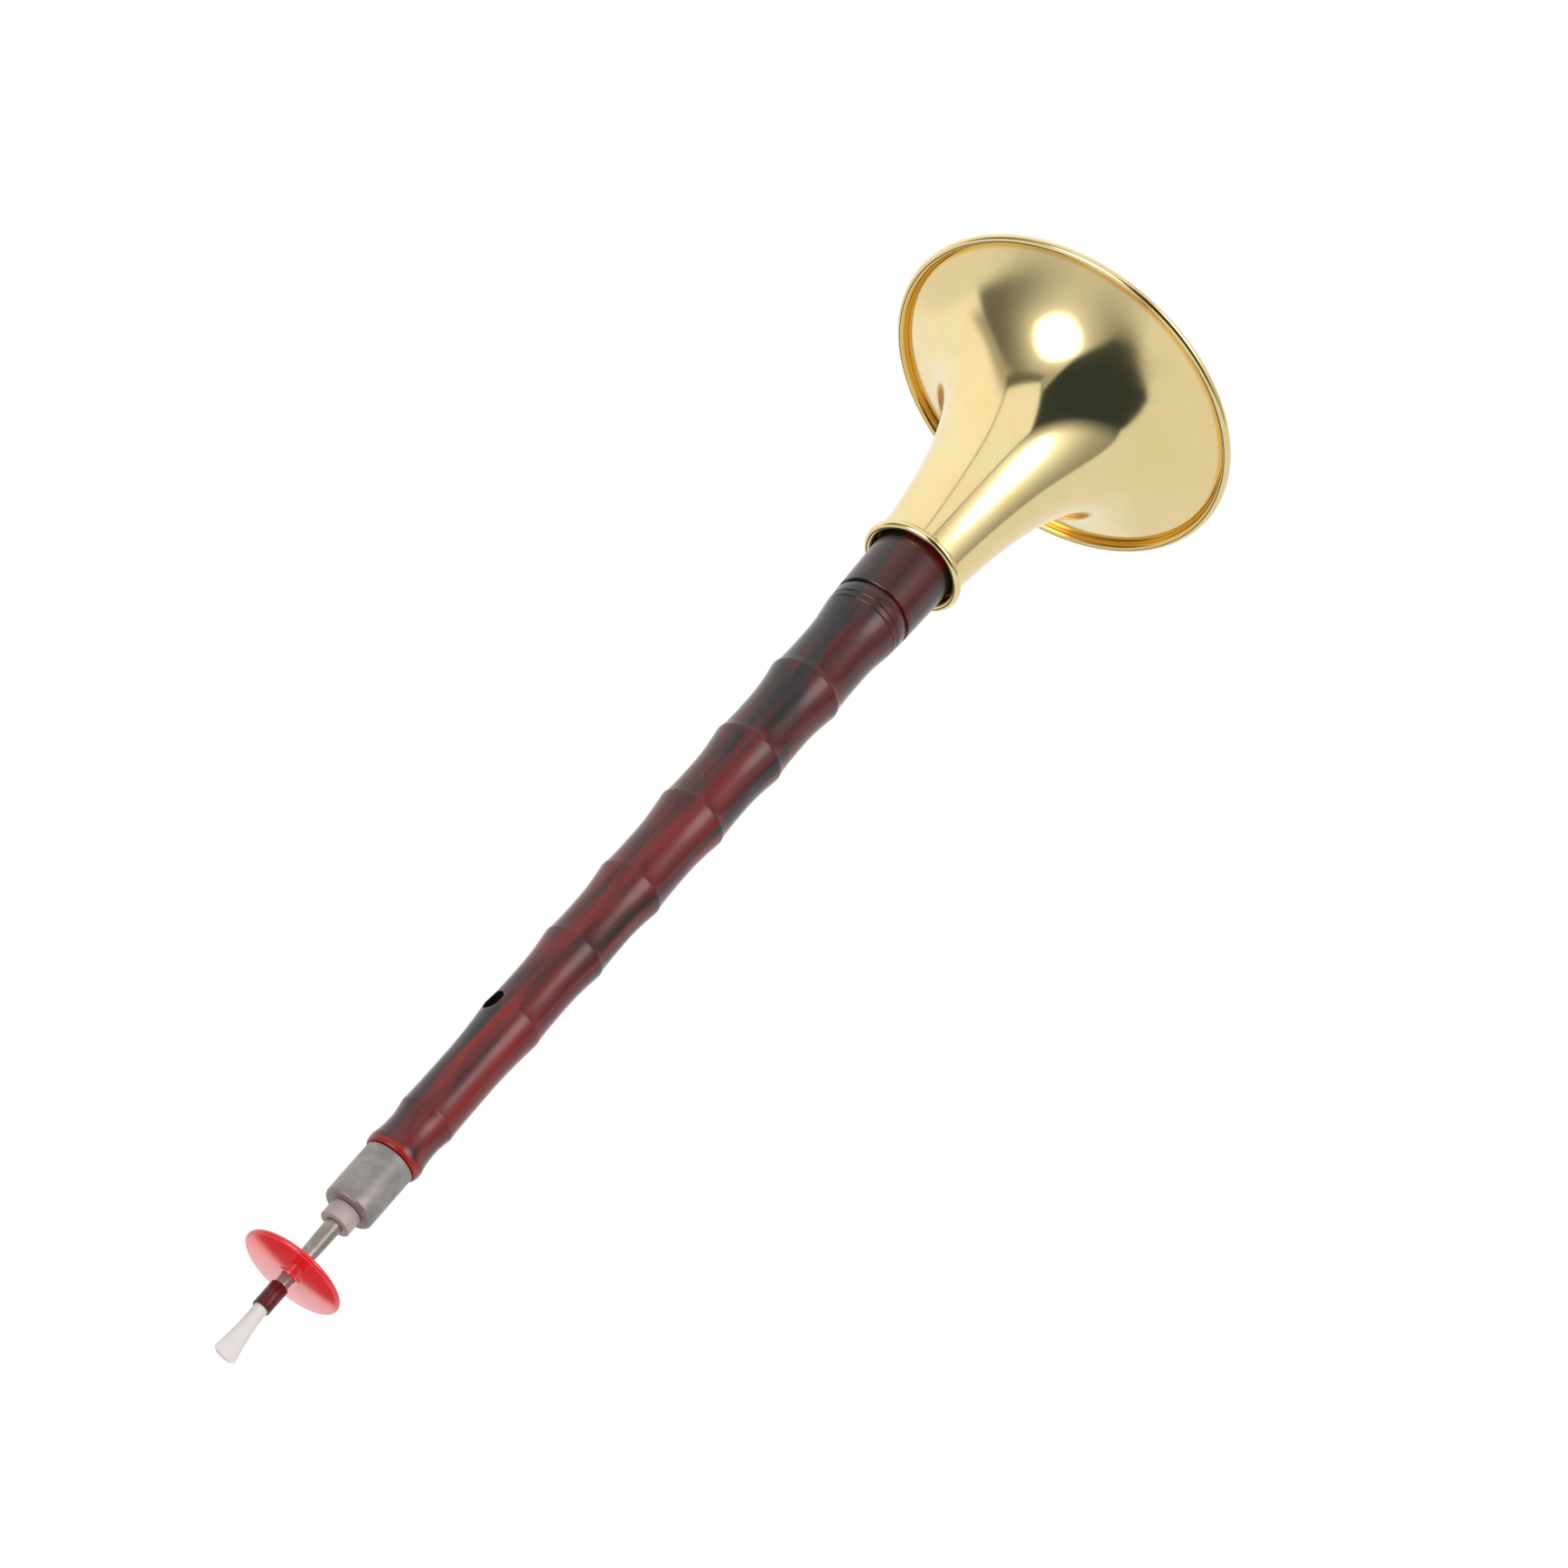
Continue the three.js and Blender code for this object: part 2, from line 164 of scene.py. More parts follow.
def applied(piece):
    """Keeps what a piece's modifiers make of it as its plain mesh."""
    depsgraph = bpy.context.evaluated_depsgraph_get()
    result = bpy.data.meshes.new_from_object(piece.evaluated_get(depsgraph))
    piece.modifiers.clear()
    piece.data = result


def grown(piece, tree, values):
    """Runs a node tree on a piece with named inputs, and keeps the result as the piece's plain mesh."""
    growth = piece.modifiers.new("growth", "NODES")
    growth.node_group = tree
    names = {item.name: item.identifier for item in tree.interface.items_tree if item.in_out == "INPUT"}
    for name, value in values.items():
        growth[names[name]] = value
    applied(piece)


def turn(name, outline, sides, finish, edge_angle=35):
    """A turned piece. A closed outline runs up its outer wall; one on the axis starts and ends there."""
    closed = outline[0][0] > 0
    count = len(outline)
    edges = [(i, (i + 1) % count) for i in range(count if closed else count - 1)]
    mesh = bpy.data.meshes.new(name)
    mesh.from_pydata([(radius * mm, -height * mm, 0) for radius, height in outline], edges, [])
    piece = in_scene(name, mesh)
    grown(piece, lathe, {"Sides": sides, "Finish": finish})
    piece.data.set_sharp_from_angle(angle=math.radians(edge_angle))
    return piece


def math_node(tree, operation, *values):
    return add(tree, "ShaderNodeMath", dict(enumerate(values)), operation=operation).outputs["Value"]


def vector_node(tree, operation, *values, result="Vector"):
    return add(tree, "ShaderNodeVectorMath", dict(enumerate(values)), operation=operation).outputs[result]


def noise(tree, place, scale, detail=2.0, roughness=0.5, distortion=0.0, result="Fac"):
    return add(tree, "ShaderNodeTexNoise", {
        "Vector": place, "Scale": scale, "Detail": detail, "Roughness": roughness, "Distortion": distortion,
    }).outputs[result]


def blend(tree, share, first, second, kind="RGBA"):
    """Goes from the first colour to the second as the share goes from 0 to 1."""
    made = add(tree, "ShaderNodeMix", {"Factor": share, "A": first, "B": second}, data_type=kind)
    return made.outputs["Result"]


def ramp(tree, value, start=0.0, end=1.0, low=0.0, high=1.0, kind="LINEAR"):
    """Goes from low to high as the value goes from start to end."""
    return add(tree, "ShaderNodeMapRange", {
        "Value": value, "From Min": start, "From Max": end, "To Min": low, "To Max": high,
    }, interpolation_type=kind).outputs["Result"]


def bump(tree, height, strength, distance):
    return add(tree, "ShaderNodeBump", {
        "Height": height, "Strength": strength, "Distance": distance}).outputs["Normal"]


def height_of(tree, place):
    return add(tree, "ShaderNodeSeparateXYZ", {"Vector": place}).outputs["Z"]


def radius_of(tree, place):
    """How far a place is from the axis that the piece is turned about."""
    return vector_node(tree, "LENGTH", vector_node(tree, "MULTIPLY", place, (1, 1, 0)), result="Value")


def smudges_group():
    """Handling marks: soft patches that a hand leaves on a polished surface."""
    inputs = [("Size", "Float", 0.02), ("Cover", "Float", 0.5)]
    tree, given = node_group("handling marks", "ShaderNodeTree", inputs, "Marks", "Float")
    place = add(tree, "ShaderNodeTexCoord").outputs["Object"]
    scale = math_node(tree, "DIVIDE", 1.0, given["Size"])
    broad = noise(tree, place, scale, detail=5.0, roughness=0.62, distortion=0.6)
    low = math_node(tree, "SUBTRACT", smudge_threshold, given["Cover"])
    high = math_node(tree, "ADD", low, smudge_softness)
    add(tree, "NodeGroupOutput", {"Marks": ramp(tree, broad, start=low, end=high)})
    return tree


def lines_group():
    """Tool lines: fine lines along or round a turned or drawn piece, by how far they are stretched."""
    inputs = [("Round", "Float", 100), ("Along", "Float", 4000)]
    tree, given = node_group("tool lines", "ShaderNodeTree", inputs, "Lines", "Float")
    place = add(tree, "ShaderNodeTexCoord").outputs["Object"]
    around, along = given["Round"], given["Along"]
    scales = add(tree, "ShaderNodeCombineXYZ", {"X": around, "Y": around, "Z": along}).outputs["Vector"]
    stretched = vector_node(tree, "MULTIPLY", place, scales)
    add(tree, "NodeGroupOutput", {"Lines": noise(tree, stretched, scale=1.0, detail=4.0, roughness=0.7)})
    return tree


smudges = smudges_group()
tool_lines = lines_group()


def marks_on(tree, size, cover):
    """Handling marks in patches of a size in metres, over more of the surface as the cover grows."""
    made = add(tree, "ShaderNodeGroup", {"Size": size, "Cover": cover}, node_tree=smudges)
    return made.outputs["Marks"]


def lines_on(tree, around, along):
    """Tool lines, finer round the piece or along it as those scales grow."""
    made = add(tree, "ShaderNodeGroup", {"Round": around, "Along": along}, node_tree=tool_lines)
    return made.outputs["Lines"]


def new_material(name):
    """An empty node material: its tree, its shader and its place coordinates."""
    made = bpy.data.materials.new(name)
    made.use_nodes = True
    tree = made.node_tree
    place = add(tree, "ShaderNodeTexCoord").outputs["Object"]
    return made, tree, tree.nodes["Principled BSDF"], place


def polished_brass():
    """Pale brass with handling marks. A deep gold is painted in the groove behind the rim: a painted
    reflection of the bead and the flare in each other.
    """
    made, tree, shader, place = new_material("polished pale brass")
    marks = marks_on(tree, size=0.022, cover=0.42)
    out = radius_of(tree, place)
    slope = math_node(tree, "MULTIPLY_ADD", out, back_lean, height_of(tree, place))
    on_back = ramp(tree, slope, start=0.0333, end=0.0335)
    past_flare = ramp(tree, out, start=0.0532, end=0.054)
    within_bead = ramp(tree, out, start=0.056, end=0.0555)
    # the groove between the flare's end and the bead, on the back: where the painted reflection of deep gold
    # goes
    groove = math_node(tree, "MULTIPLY", math_node(tree, "MULTIPLY", past_flare, within_bead), on_back)
    turning = lines_on(tree, around=12.0, along=900.0)
    wave = noise(tree, place, scale=42.0, detail=1.0)
    relief = math_node(tree, "MULTIPLY_ADD", turning, turning_share, wave)
    connect(tree, shader, {
        "Base Color": blend(tree, groove, blend(tree, marks, clean_brass, handled_brass), painted_groove_reflection_gold),
        "Roughness": ramp(tree, marks, low=0.075, high=0.13),
        "Normal": bump(tree, relief, strength=0.12, distance=0.0004),
        "Metallic": 1.0,
    })
    return made


def drawn_wire():
    made, tree, shader, place = new_material("drawn steel wire")
    grain = noise(tree, place, scale=900.0, detail=3.0)
    connect(tree, shader, {
        "Base Color": blend(tree, grain, wire_dark, wire_light),
        "Roughness": ramp(tree, grain, low=0.3, high=0.5),
        "Metallic": 1.0,
    })
    return made


flare_back = bent_line(flare_corners, flare_steps)
flare_front = []
for i, (radius, height) in enumerate(flare_back):
    before, after = flare_back[max(i - 1, 0)], flare_back[min(i + 1, len(flare_back) - 1)]
    run = Vector((after[0] - before[0], after[1] - before[1])).normalized()
    flare_front.append((radius + bell_sheet * run.y, height - bell_sheet * run.x))
flare_front[0] = (flare_front[0][0], bell_height)
flare_back[0] = (neck_radius, bell_height - bell_sheet)
flange_corner = neck_radius + neck_flange - bell_sheet / 2
back_slope = math.atan2(flare_back[-3][1] - flare_back[-1][1], flare_back[-1][0] - flare_back[-3][0])
pinch_x = bead_centre[0] - bead_radius - pinch_radius
pinch_foot = flare_back[-1][1] + (flare_back[-1][0] - pinch_x) * math.tan(back_slope)
pinch_centre = (pinch_x, pinch_foot + pinch_radius / math.cos(back_slope))
pinch = arc(pinch_centre, pinch_radius, 0, -90 - math.degrees(back_slope), 8)
roll = arc(bead_centre, bead_radius, -90, 180, 40)
bell_outline = (
    flare_front[:-1] + [(bead_centre[0] - land_inset, 0)]
    + [p for p in roll if p[0] > roll_end_radius or p[1] > pinch[0][1]]
    + pinch + [p for p in flare_back[::-1] if p[0] < pinch[-1][0] - pinch_gap]
    + arc((flange_corner, bell_height - bell_sheet / 2), bell_sheet / 2, -90, 90, 8)
)
brass = polished_brass()
bell = turn("bell_sheet", bell_outline, bell_sides, brass, bell_edge_angle)
hollow_outline = arc(bead_centre, bead_radius - bell_sheet, 360 - closing_step, 0, 29)
hollow = turn("bead_hollow", hollow_outline, bell_sides, brass, bell_edge_angle)
both = bmesh.new()
both.from_mesh(bell.data)
both.from_mesh(hollow.data)
both.to_mesh(bell.data)
both.free()
bpy.data.objects.remove(hollow)
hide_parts("bell_flare")
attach(bell, "bell")

ring_lift = ring_radius * math.cos(math.radians(ring_flat_angle))
ring_centre = (neck_radius + ring_overhang, bell_height + ring_lift)
ring_outline = arc(ring_centre, ring_radius, ring_flat_angle - 90, 270 - ring_flat_angle, 32)
neck_ring = turn("neck_ring", ring_outline, ring_sides, brass)
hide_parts("bell_neck_ring")
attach(neck_ring, "bell")

wire_outline = arc(bead_centre, wire_radius, 0, 360 - closing_step, 14)
rim_wire = turn("rim_wire", wire_outline, ring_sides, drawn_wire(), edge_angle=60)
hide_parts("bell_rim_wire")
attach(rim_wire, "bell")

# PIPE. A cone of dark red resin with black marbling along it, cast and then turned in seven bamboo joints. It
# is bored to a cone from the foot, with a socket at the top, and drilled with a finger hole in each waist in
# front and a thumb hole behind. The plain foot has two fine grooves, a deep one, and a seat for its packing.
pipe_foot = 66
pipe_length = 263.3
pipe_shoulder = pipe_foot + pipe_length
pipe_sides = 144
pipe_edge_angle = 32
foot_radius = 12.75
foot_edge = 0.4
foot_top = 86.3
sleeve_top = 106.6
sleeve_radius = 12
sleeve_edge, sleeve_bevel = 0.1, 0.25
shoulder_edge = 0.2
shoulder_radius = 11.65
seat_radius = 12.0
seat_low, seat_high = 70.6, 82.8
deep_groove_width, deep_groove_depth = 1.6, 0.7
deep_groove_corner = 0.15
fine_groove_width, fine_groove_depth = 0.6, 0.25
fine_groove_floor = 0.08
fine_groove_lifts = (3.4, 5.6)
crest_shares = [0.289, 0.395, 0.499, 0.608, 0.705, 0.808, 0.944]
foot_waist_share = 0.234
collar_waist_share = 0.9648
crest_radii = (11.35, 7.9)
waist_radii = (10.55, 7.2)
joint_steps = 12
to_crest, to_waist = [(0.7, 0), (0.9, 0.25)], [(0.2, 0.3), (0.55, 1)]
to_first_waist = [(0.3, 0.4), (0.45, 1)]
to_collar, to_shoulder = [(0.7, 0), (0.85, 1)], [(0.65, 0), (1, 0.5)]
collar_radius = 7.95
collar_height = 2.2
collar_rounding = 0.7
collar_steps = 8
spigot_radius = 5.85
spigot_top = 343
spigot_edge = 0.3
socket_radius = 4.75
socket_floor = 311.6
bore_radii = (9, 3.6)
bore_overrun = 1
finger_hole_radius = 3.4
thumb_hole_radius = 3.2
pocket_floor = 0.4
in_front, behind = math.radians(-90), math.radians(90)
swirl_turn, swirl_stretch = (0.1, 0.14, 0.6), (1, 1, 0.13)
sway_reach = (0.016, 0.016, 0.01)
narrow_share = 0.3
black_from, black_lift, black_fade = 0.42, 0.06, 0.1
foot_red = (0.07, 0.005, 0.005, 1)
reedward_red = (0.16, 0.007, 0.005, 1)
deep_red = (0.05, 0.005, 0.005, 1)
resin_black = (0.010, 0.009, 0.009, 1)
collar_red = (0.28, 0.01, 0.006, 1)
# painted light: the bright plain red of the bore and the holes stands in for light on their walls
bore_red_painted_light = (0.34, 0.02, 0.014, 1)


def share_height(share):
    return pipe_foot + pipe_length * share


def between(radii, low, high, share):
    return radii[0] + (radii[1] - radii[0]) * (share - low) / (high - low)


def crest_point(share):
    return between(crest_radii, crest_shares[0], crest_shares[-1], share), share_height(share)


def waist_point(share):
    return between(waist_radii, foot_waist_share, collar_waist_share, share), share_height(share)


def curve_to(line, end, handles, steps):
    """Adds a curve up to a point. Its handles are shares of its height and of its change in radius."""
    start = line[-1]
    span = (end[0] - start[0], end[1] - start[1])
    lower, upper = [(start[0] + span[0] * out, start[1] + span[1] * up) for up, out in handles]
    for i in range(1, steps + 1):
        t = i / steps
        weights = ((1 - t) ** 3, 3 * t * (1 - t) ** 2, 3 * t * t * (1 - t), t ** 3)
        line.append(weighted(weights, (start, lower, upper, end)))


def rounded_crest(line, crest, reach=0.25, steps=6):
    """Rounds the sharp crest of a joint over a short way each side."""
    below = [p for p in line if p[1] < crest[1] - reach]
    above = [p for p in line if p[1] > crest[1] + reach]
    bend = []
    for i in range(1, steps):
        t = i / steps
        bend.append(weighted(((1 - t) ** 2, 2 * t * (1 - t), t * t), (below[-1], crest, above[0])))
    return below + bend + above


waist_shares = [(a + b) / 2 for a, b in zip(crest_shares, crest_shares[1:])]
waist_shares = [foot_waist_share] + waist_shares + [collar_waist_share]
joints = [waist_point(foot_waist_share)]
for crest, waist in zip(crest_shares, waist_shares[1:]):
    curve_to(joints, crest_point(crest), to_crest, joint_steps)
    curve_to(joints, waist_point(waist), to_waist, joint_steps)
for crest in crest_shares:
    joints = rounded_crest(joints, crest_point(crest))

shoulder_low = sleeve_top + deep_groove_width
shoulder_high = shoulder_low + fine_groove_lifts[1] + fine_groove_width / 2
groove_radius = sleeve_radius - deep_groove_depth
foot_line = [
    (0, pipe_foot), (foot_radius - foot_edge, pipe_foot), (foot_radius, pipe_foot + foot_edge),
    (foot_radius, seat_low), (seat_radius, seat_low), (seat_radius, seat_high), (foot_radius, seat_high),
    (foot_radius, foot_top), (sleeve_radius + sleeve_edge, sleeve_top - sleeve_bevel),
    (sleeve_radius - sleeve_edge, sleeve_top), (groove_radius, sleeve_top + deep_groove_corner),
    (groove_radius, shoulder_low - deep_groove_corner), (sleeve_radius - sleeve_edge, shoulder_low),
    (sleeve_radius, shoulder_low + shoulder_edge),
]
for groove_lift in fine_groove_lifts:
    groove = shoulder_low + groove_lift
    radius = between((sleeve_radius, shoulder_radius), shoulder_low, shoulder_high, groove)
    foot_line += [
        (radius, groove - fine_groove_width / 2), (radius - fine_groove_depth, groove - fine_groove_floor),
        (radius - fine_groove_depth, groove + fine_groove_floor), (radius, groove + fine_groove_width / 2),
    ]
curve_to(foot_line, joints[0], to_first_waist, joint_steps)
collar_line = [joints[-1]]
curve_to(collar_line, (collar_radius, pipe_shoulder - collar_height), to_collar, collar_steps)
curve_to(collar_line, (collar_radius - collar_rounding, pipe_shoulder), to_shoulder, collar_steps)
collar_line += [
    (spigot_radius, pipe_shoulder), (spigot_radius, spigot_top - spigot_edge),
    (spigot_radius - spigot_edge, spigot_top), (0, spigot_top),
]
outer_line = foot_line + joints[1:] + collar_line[1:]
wall_line = [p for p in outer_line if p[1] >= foot_top]


def wall_radius(height):
    """The outer radius at a height above the seat, read along the turned outline."""
    for (r0, z0), (r1, z1) in zip(wall_line, wall_line[1:]):
        if z0 <= height <= z1 and z1 > z0:
            return r0 + (r1 - r0) * (height - z0) / (z1 - z0)
    raise ValueError(height)


def drill(body, angle, height, radius, easing=0.28, reach=1.6, wall_rings=4, rim_rings=5):
    """Drills a pocket with an eased rim: the wall near it is cut away and closed again in rings."""
    out = Vector((math.cos(angle), math.sin(angle), 0))
    side = Vector((-out.y, out.x, 0))
    window = (radius + easing + reach) * mm
    near = [f for f in body.faces if f.calc_center_median().dot(out) > 0
            and abs(f.calc_center_median().dot(side)) < window
            and abs(f.calc_center_median().z - height * mm) < window]
    bmesh.ops.delete(body, geom=near, context="FACES")
    rim = [e for e in body.edges if len(e.link_faces) == 1]
    loop = [rim[0].verts[0], rim[0].verts[1]]
    while True:
        last, previous = loop[-1], loop[-2]
        open_edges = [e for e in last.link_edges if len(e.link_faces) == 1]
        onward = [e.other_vert(last) for e in open_edges if e.other_vert(last) is not previous]
        if not onward or onward[0] is loop[0]:
            break
        loop.append(onward[0])
    places = [(v.co.dot(side) / mm, v.co.z / mm - height) for v in loop]

    def on_wall(p, q):
        depth = math.sqrt(wall_radius(height + q) ** 2 - p * p)
        return out * (depth * mm) + side * (p * mm) + Vector((0, 0, (height + q) * mm))

    def ring(size_at, sunk):
        """A ring round the hole, of a size by the distance of each place on the loop, sunk into the wall."""
        made = []
        for p, q in places:
            far = math.hypot(p, q)
            size = size_at(far)
            made.append(on_wall(p / far * size, q / far * size) - out * (sunk * mm))
        return made

    rings = []
    for k in range(1, wall_rings + 1):
        rings.append(ring(lambda far: far + (radius + easing - far) * k / wall_rings, 0))
    for k in range(1, rim_rings + 1):
        turn_in = math.radians(90 * k / rim_rings)
        sunk = easing * (1 - math.cos(turn_in))
        rings.append(ring(lambda far: radius + easing * (1 - math.sin(turn_in)), sunk))
    floor = []
    for p, q in places:
        far = math.hypot(p, q)
        floor.append(out * (pocket_floor * mm) + side * (p / far * radius * mm)
                     + Vector((0, 0, (height + q / far * radius) * mm)))
    rings.append(floor)
    before = loop
    for points in rings:
        now = [body.verts.new(point) for point in points]
        for i in range(len(now)):
            j = (i + 1) % len(now)
            body.faces.new((before[i], before[j], now[j], now[i]))
        before = now
    body.faces.new(before)


def marbled_resin():
    """Black swirled lengthwise through dark red, which grows clearer towards the reed and is clearest on the
    collar. The bore and the holes are cut and unpolished, and show plain red, made bright as painted light on
    their walls."""
    made, tree, shader, place = new_material("marbled dark red resin")
    height = height_of(tree, place)
    out = radius_of(tree, place)
    drawn_out = add(tree, "ShaderNodeMapping", {
        "Vector": place, "Rotation": swirl_turn, "Scale": swirl_stretch}).outputs["Vector"]
    sway = noise(tree, drawn_out, scale=60.0, result="Color")
    swayed = vector_node(tree, "MULTIPLY_ADD", sway, sway_reach, drawn_out)
    broad = noise(tree, swayed, scale=75.0)
    narrow = noise(tree, swayed, scale=230.0, detail=3.0)
    reedward = ramp(tree, height, start=0.1, end=0.24)
    edge = math_node(tree, "MULTIPLY_ADD", reedward, black_lift, black_from)
    swirl = blend(tree, narrow_share, broad, narrow, kind="FLOAT")
    black = ramp(tree, swirl, start=edge, end=math_node(tree, "ADD", edge, black_fade), kind="SMOOTHSTEP")
    clear = blend(tree, reedward, foot_red, reedward_red)
    red = blend(tree, ramp(tree, narrow, start=0.36, end=0.62), clear, deep_red)
    marbled = blend(tree, black, red, resin_black)
    outside = ramp(tree, out, start=0.006, end=0.0068, high=0.8)
    on_collar = ramp(tree, height, start=0.3274, end=0.3284, high=outside)
    below_shoulder = ramp(tree, height, start=0.329, end=0.3288)
    # inside the bore and the holes: plain cut red, made bright as painted light
    bore_wall_painted_light = ramp(tree, out, start=0.0066, end=0.0058, high=below_shoulder)
    connect(tree, shader, {
        "Base Color": blend(tree, bore_wall_painted_light, blend(tree, on_collar, marbled, collar_red), bore_red_painted_light),
        "Roughness": ramp(tree, marks_on(tree, size=0.014, cover=0.5), low=0.15, high=0.21),
        "Normal": bump(tree, lines_on(tree, around=2600.0, along=40.0), strength=0.3, distance=0.00006),
        "Specular IOR Level": 0.5,
    })
    return made


resin = marbled_resin()
pipe = turn("pipe_body", outer_line, pipe_sides, resin, pipe_edge_angle)
cut = bmesh.new()
cut.from_mesh(pipe.data)
for waist in waist_shares[:-1]:
    drill(cut, in_front, share_height(waist), finger_hole_radius)
drill(cut, behind, share_height(crest_shares[-2]), thumb_hole_radius)
cut.to_mesh(pipe.data)
cut.free()
bore_low, bore_high = pipe_foot - bore_overrun, spigot_top + bore_overrun
bore_outline = [
    (0, bore_low), (bore_radii[0], bore_low), (bore_radii[0], pipe_foot), (bore_radii[1], socket_floor),
    (socket_radius, socket_floor), (socket_radius, bore_high), (0, bore_high),
]
bore = turn("bore", bore_outline, 72, resin)
boring = pipe.modifiers.new("boring", "BOOLEAN")
boring.object = bore
boring.solver = "EXACT"
applied(pipe)
bpy.data.objects.remove(bore)
pipe.data.materials.clear()
pipe.data.materials.append(resin)
pipe.data.shade_smooth()
pipe.data.set_sharp_from_angle(angle=math.radians(pipe_edge_angle))
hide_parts("pipe")
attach(pipe, "pipe")

# SEAT PACKING. A band of dark brown cork glued in the seat of the pipe's foot. It grips the bell's neck
# from inside, so that the bell stays on and can be turned or pulled off.
packing_radius = 13.4
packing_edge = 0.1
fit = 0.08
cork_light = (0.075, 0.036, 0.018, 1)
cork_dark = (0.02, 0.009, 0.005, 1)


def packing_cork():
    made, tree, shader, place = new_material("dark packing cork")
    grains = add(tree, "ShaderNodeTexVoronoi", {"Vector": place, "Scale": 900.0}).outputs["Distance"]
    tone = add(tree, "ShaderNodeValToRGB", {"Fac": grains})
    tone.color_ramp.elements[0].color = cork_light
    tone.color_ramp.elements[1].color = cork_dark
    connect(tree, shader, {
        "Base Color": tone.outputs["Color"],
        "Roughness": 0.85,
        "Normal": bump(tree, grains, strength=0.5, distance=0.0002),
    })
    return made


cork = packing_cork()
packing_inner = seat_radius + fit
packing_low, packing_high = seat_low + packing_edge, seat_high - packing_edge
packing_outline = [
    (packing_inner, packing_low), (packing_radius - packing_edge, packing_low),
    (packing_radius, packing_low + packing_edge), (packing_radius, packing_high - packing_edge),
    (packing_radius - packing_edge, packing_high), (packing_inner, packing_high),
]
packing = turn("seat_cork", packing_outline, 144, cork)
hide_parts("seat_packing")
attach(packing, "pipe")

# TUNING CORE. A satin steel cap over the pipe's spigot, on a tube that slides in the pipe's socket with a
# sleeve of cork round it. Its top edge is rounded and its face is turned flat.
core_top = 346.6
core_sides = 96
cap_bottom = 329.6
cap_radius = 7.0
cap_inner_radius = 6.3
cap_edge = 0.15
cap_rounding = 1.0
cap_face = 1.6
tube_bottom = 312.6
tube_radius, tube_inner_radius = 4.0, 3.5
seal_low, seal_high = 315.6, 324.6
seal_radius = 4.67
cap_dark = (0.26, 0.235, 0.222, 1)
cap_light = (0.49, 0.45, 0.425, 1)


def satin_steel(name, dark, light, around, along, smooth_end, rough_end, metallic):
    """Steel with tool lines round it or along it, dulled in patches by handling."""
    made, tree, shader, place = new_material(name)
    lines = lines_on(tree, around, along)
    marks = marks_on(tree, size=0.006, cover=0.45)
    dulling = math_node(tree, "ADD", marks, lines)
    connect(tree, shader, {
        "Base Color": blend(tree, marks, blend(tree, lines, dark, light), dark),
        "Roughness": ramp(tree, dulling, end=2.0, low=smooth_end, high=rough_end),
        "Normal": bump(tree, lines, strength=0.25, distance=0.00006),
        "Metallic": metallic,
    })
    return made


cap_steel = satin_steel("satin steel cap", cap_dark, cap_light, around=260.0, along=900.0,
                        smooth_end=0.36, rough_end=0.52, metallic=0.75)
cap_edge_centre = (cap_radius - cap_edge, cap_bottom + cap_edge)
cap_rounding_centre = (cap_radius - cap_rounding, core_top - cap_rounding)
cap_outline = (
    [(cap_inner_radius, cap_bottom), (cap_radius - cap_edge, cap_bottom)]
    + arc(cap_edge_centre, cap_edge, -60, 0, 3) + arc(cap_rounding_centre, cap_rounding, 0, 90, 10)
    + [(tube_radius + fit, core_top), (tube_radius + fit, core_top - cap_face),
       (cap_inner_radius, core_top - cap_face)]
)
cap = turn("steel_cap", cap_outline, 128, cap_steel)
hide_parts("core_cap")
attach(cap, "core")

tube_outline = [
    (tube_inner_radius, tube_bottom), (tube_radius, tube_bottom),
    (tube_radius, core_top), (tube_inner_radius, core_top),
]
tube = turn("tuning_tube", tube_outline, core_sides, cap_steel)
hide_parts("core_tube")
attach(tube, "core")

seal_outline = [
    (tube_radius + fit, seal_low), (seal_radius, seal_low),
    (seal_radius, seal_high), (tube_radius + fit, seal_high),
]
seal = turn("tube_cork", seal_outline, core_sides, cork)
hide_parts("core_seal")
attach(seal, "core")

# BUSHING. A soft stopper of milky silicone, moulded with a flange that sits on the cap. It holds the
# staple by friction and lets it turn.
bushing_low, bushing_top = 336, 351.38
plug_radius = 3.42
flange_radius = 4.3
flange_low_rounding, flange_top_rounding = 0.2, 0.18
staple_low, staple_top = 322, 378
staple_wide, staple_narrow = 3.12, 1.67
silicone_dark = (0.31, 0.262, 0.256, 1)
silicone_light = (0.38, 0.328, 0.32, 1)


def staple_radius(height):
    return between((staple_wide, staple_narrow), staple_low, staple_top, height)


def milky_silicone():
    made, tree, shader, place = new_material("milky silicone")
    cloud = noise(tree, place, scale=260.0, detail=3.0)
    connect(tree, shader, {
        "Base Color": blend(tree, cloud, silicone_dark, silicone_light),
        "Roughness": 0.38,
        "Normal": bump(tree, cloud, strength=0.15, distance=0.0001),
    })
    return made


flange_low = core_top + fit
flange_low_centre = (flange_radius - flange_low_rounding, flange_low + flange_low_rounding)
flange_top_centre = (flange_radius - flange_top_rounding, bushing_top - flange_top_rounding)
bushing_outline = (
    [(staple_radius(bushing_low) + fit, bushing_low), (plug_radius, bushing_low), (plug_radius, flange_low),
     (flange_radius - flange_low_rounding, flange_low)]
    + arc(flange_low_centre, flange_low_rounding, -90, 0, 4)
    + arc(flange_top_centre, flange_top_rounding, 0, 90, 5)
    + [(staple_radius(bushing_top) + fit, bushing_top)]
)
bushing = turn("silicone_bushing", bushing_outline, core_sides, milky_silicone())
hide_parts("bushing")
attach(bushing, "bushing")

